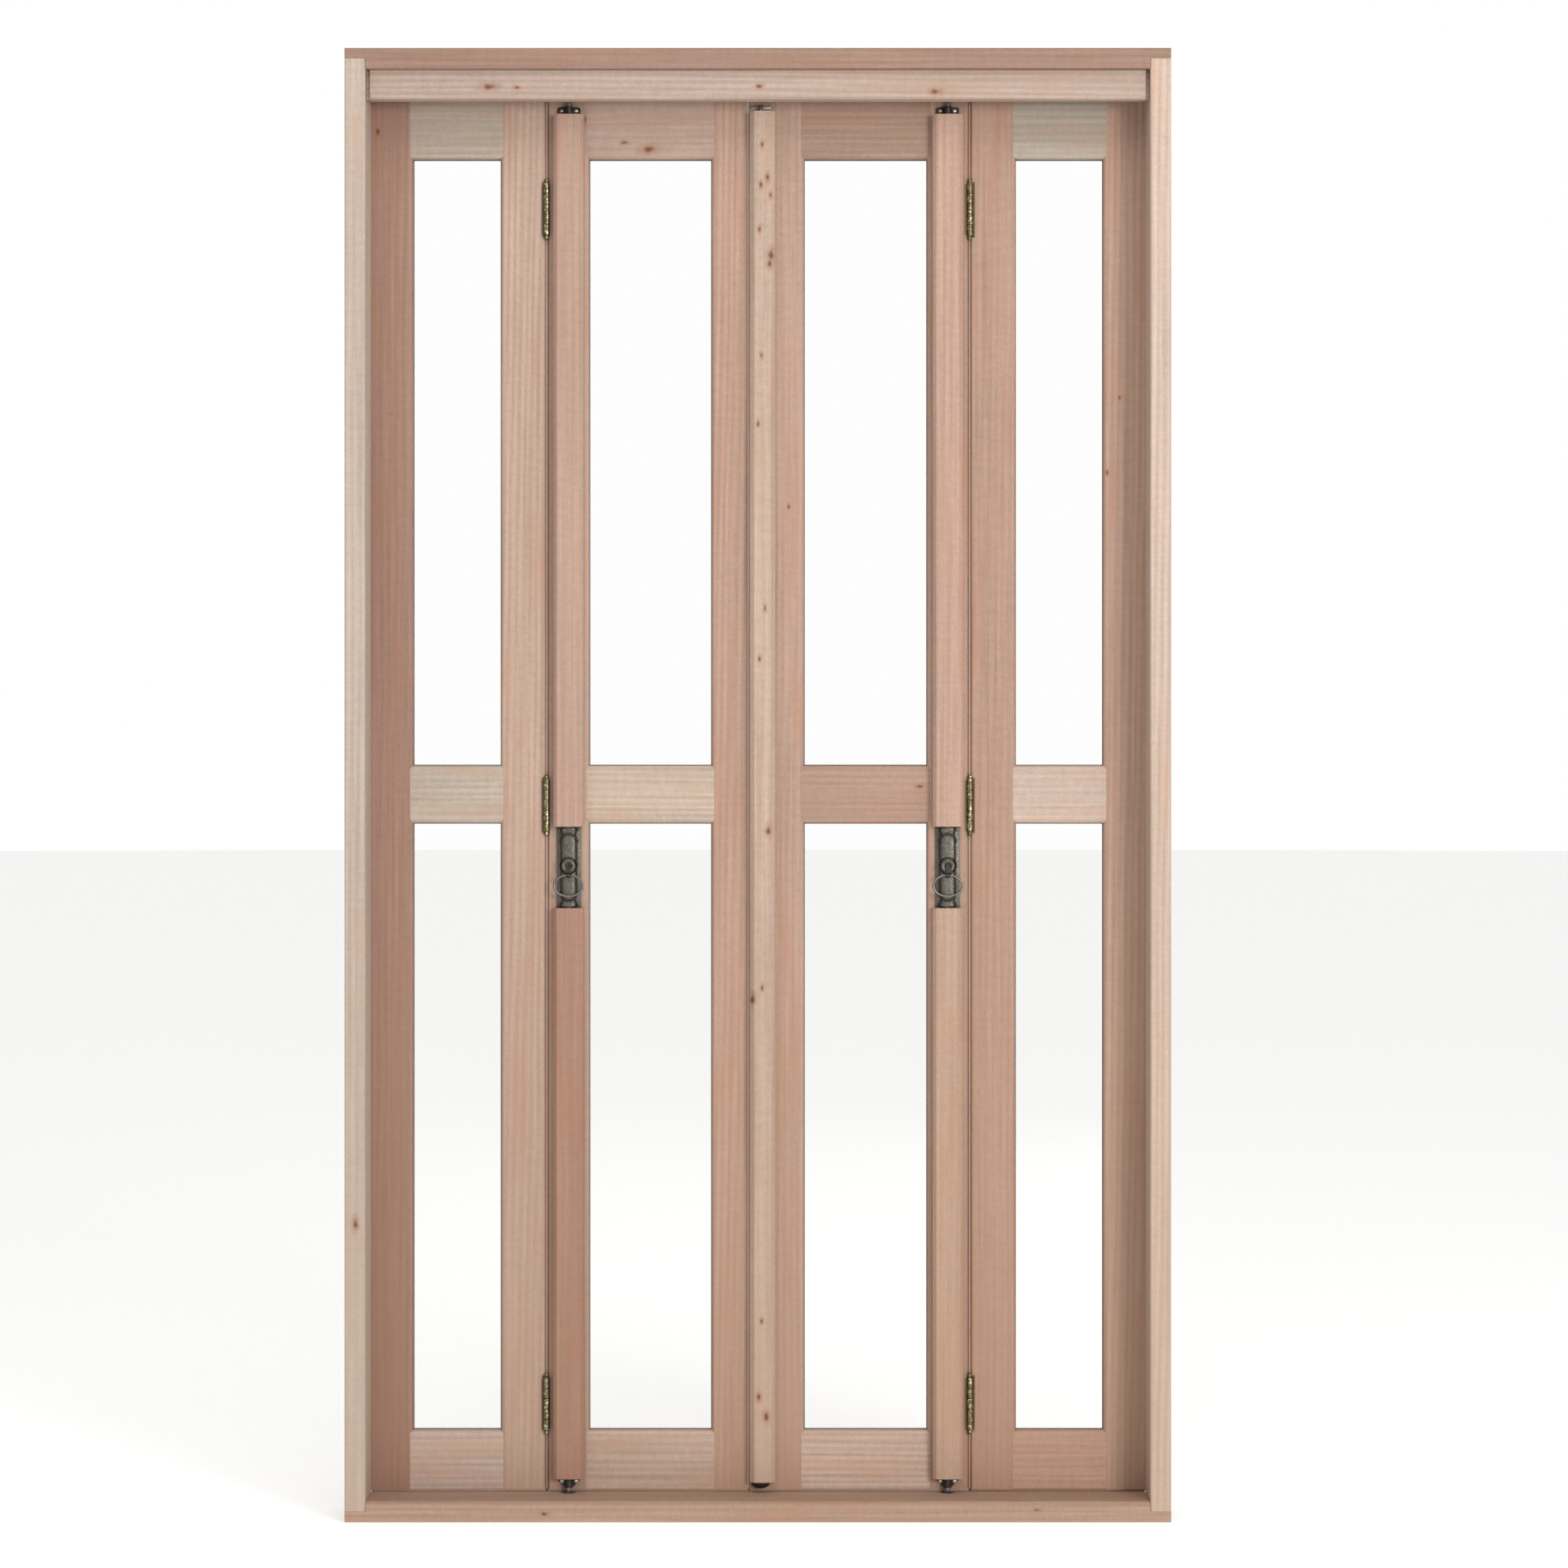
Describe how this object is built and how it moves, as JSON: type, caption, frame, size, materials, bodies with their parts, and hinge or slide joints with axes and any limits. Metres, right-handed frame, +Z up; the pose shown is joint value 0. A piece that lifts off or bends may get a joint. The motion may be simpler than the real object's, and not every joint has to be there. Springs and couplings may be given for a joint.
{
  "type": "four-leaf folding window",
  "caption": "Tall wooden folding window: a frame of boards holds two pairs of glazed leaves that fold back on butt hinges, each pair bolted by a ring-handled latch with rods up and down.",
  "frame": {"origin": "middle of the sill's underside", "axes": "+X to the right seen from inside, +Y to the outside where the leaves fold, +Z up"},
  "size_m": [1.2, 0.129, 2.14],
  "materials": {
    "rosy_board": "planed and unfinished",
    "brown_board": "planed and unfinished",
    "pale_board": "planed and unfinished",
    "clear_glass": "clear",
    "aged_brass": "aged",
    "dark_iron": "antique, cast and waxed",
    "steel": "plain drawn rod"
  },
  "bodies": {
    "frame": {"head": "brown_board", "sill": "pale_board", "left_jamb": "pale_board", "right_jamb": "rosy_board", "valance": "pale_board", "left_jamb_hinge_top": "aged_brass", "left_jamb_hinge_bottom": "aged_brass", "right_jamb_hinge_top": "aged_brass", "right_jamb_hinge_bottom": "aged_brass"},
    "left_outer": {"left_outer_jamb_stile": "rosy_board", "left_outer_fold_stile": "rosy_board", "left_outer_top_rail": "rosy_board", "left_outer_mid_rail": "rosy_board", "left_outer_bottom_rail": "rosy_board", "left_outer_lower_pane": "clear_glass", "left_outer_upper_pane": "clear_glass", "left_fold_hinge_top": "aged_brass", "left_fold_hinge_mid": "aged_brass", "left_fold_hinge_bottom": "aged_brass"},
    "left_inner": {"left_inner_fold_stile": "brown_board", "left_inner_meeting_stile": "brown_board", "left_inner_top_rail": "brown_board", "left_inner_mid_rail": "brown_board", "left_inner_bottom_rail": "brown_board", "left_inner_lower_pane": "clear_glass", "left_inner_upper_pane": "clear_glass", "left_lower_cover_strip": "pale_board", "left_upper_cover_strip": "rosy_board", "left_guide_pin": "steel", "left_latch_housing": "dark_iron"},
    "right_inner": {"right_inner_meeting_stile": "rosy_board", "right_inner_fold_stile": "rosy_board", "right_inner_top_rail": "rosy_board", "right_inner_mid_rail": "rosy_board", "right_inner_bottom_rail": "rosy_board", "right_inner_lower_pane": "clear_glass", "right_inner_upper_pane": "clear_glass", "centre_cover_strip": "pale_board", "right_lower_cover_strip": "pale_board", "right_upper_cover_strip": "rosy_board", "right_guide_pin": "steel", "right_latch_housing": "dark_iron"},
    "right_outer": {"right_outer_fold_stile": "brown_board", "right_outer_jamb_stile": "brown_board", "right_outer_top_rail": "brown_board", "right_outer_mid_rail": "brown_board", "right_outer_bottom_rail": "brown_board", "right_outer_lower_pane": "clear_glass", "right_outer_upper_pane": "clear_glass", "right_fold_hinge_top": "aged_brass", "right_fold_hinge_mid": "aged_brass", "right_fold_hinge_bottom": "aged_brass"},
    "left_latch_knob": {"left_latch_knob": "dark_iron"},
    "left_latch_ring": {"left_latch_ring": "dark_iron"},
    "left_upper_rod": {"left_upper_rod": "steel"},
    "left_lower_rod": {"left_lower_rod": "steel"},
    "right_latch_knob": {"right_latch_knob": "dark_iron"},
    "right_latch_ring": {"right_latch_ring": "dark_iron"},
    "right_upper_rod": {"right_upper_rod": "steel"},
    "right_lower_rod": {"right_lower_rod": "steel"}
  },
  "joints": [
    {"name": "left_jamb_hinge", "type": "hinge", "parent": "frame", "child": "left_outer", "pos_m": [-0.5835, 0.064, 0], "axis": [0, 0, 1], "range_deg": [0, 62]},
    {"name": "left_fold_hinge", "type": "hinge", "parent": "left_outer", "child": "left_inner", "pos_m": [-0.3115, 0.021, 0], "axis": [0, 0, -1], "range_deg": [0, 124]},
    {"name": "left_knob_turn", "type": "hinge", "parent": "left_inner", "child": "left_latch_knob", "pos_m": [-0.2785, 0, 0.9515], "axis": [0, 1, 0], "range_deg": [-90, 0]},
    {"name": "left_upper_rod_slide", "type": "slide", "parent": "left_inner", "child": "left_upper_rod", "axis": [0, 0, 1], "range_m": [0, 0.00942]},
    {"name": "left_lower_rod_slide", "type": "slide", "parent": "left_inner", "child": "left_lower_rod", "axis": [0, 0, -1], "range_m": [0, 0.00942]},
    {"name": "left_ring_swing", "type": "hinge", "parent": "left_latch_knob", "child": "left_latch_ring", "pos_m": [-0.2785, 0.006, 0.9377], "axis": [1, 0, 0], "range_deg": [-110, 0]},
    {"name": "right_jamb_hinge", "type": "hinge", "parent": "frame", "child": "right_outer", "pos_m": [0.5835, 0.064, 0], "axis": [0, 0, -1], "range_deg": [0, 62]},
    {"name": "right_fold_hinge", "type": "hinge", "parent": "right_outer", "child": "right_inner", "pos_m": [0.3115, 0.021, 0], "axis": [0, 0, 1], "range_deg": [0, 124]},
    {"name": "right_knob_turn", "type": "hinge", "parent": "right_inner", "child": "right_latch_knob", "pos_m": [0.2785, 0, 0.9515], "axis": [0, -1, 0], "range_deg": [-90, 0]},
    {"name": "right_upper_rod_slide", "type": "slide", "parent": "right_inner", "child": "right_upper_rod", "axis": [0, 0, 1], "range_m": [0, 0.00942]},
    {"name": "right_lower_rod_slide", "type": "slide", "parent": "right_inner", "child": "right_lower_rod", "axis": [0, 0, -1], "range_m": [0, 0.00942]},
    {"name": "right_ring_swing", "type": "hinge", "parent": "right_latch_knob", "child": "right_latch_ring", "pos_m": [0.2785, 0.006, 0.9377], "axis": [1, 0, 0], "range_deg": [-110, 0]}
  ],
  "couplings": [
    {"joint": "left_fold_hinge", "follows": "left_jamb_hinge", "ratio": 2},
    {"joint": "left_knob_turn", "follows": "left_upper_rod_slide", "rad_per_m": -166.67},
    {"joint": "left_lower_rod_slide", "follows": "left_upper_rod_slide", "ratio": 1},
    {"joint": "right_fold_hinge", "follows": "right_jamb_hinge", "ratio": 2},
    {"joint": "right_knob_turn", "follows": "right_upper_rod_slide", "rad_per_m": -166.67},
    {"joint": "right_lower_rod_slide", "follows": "right_upper_rod_slide", "ratio": 1}
  ]
}
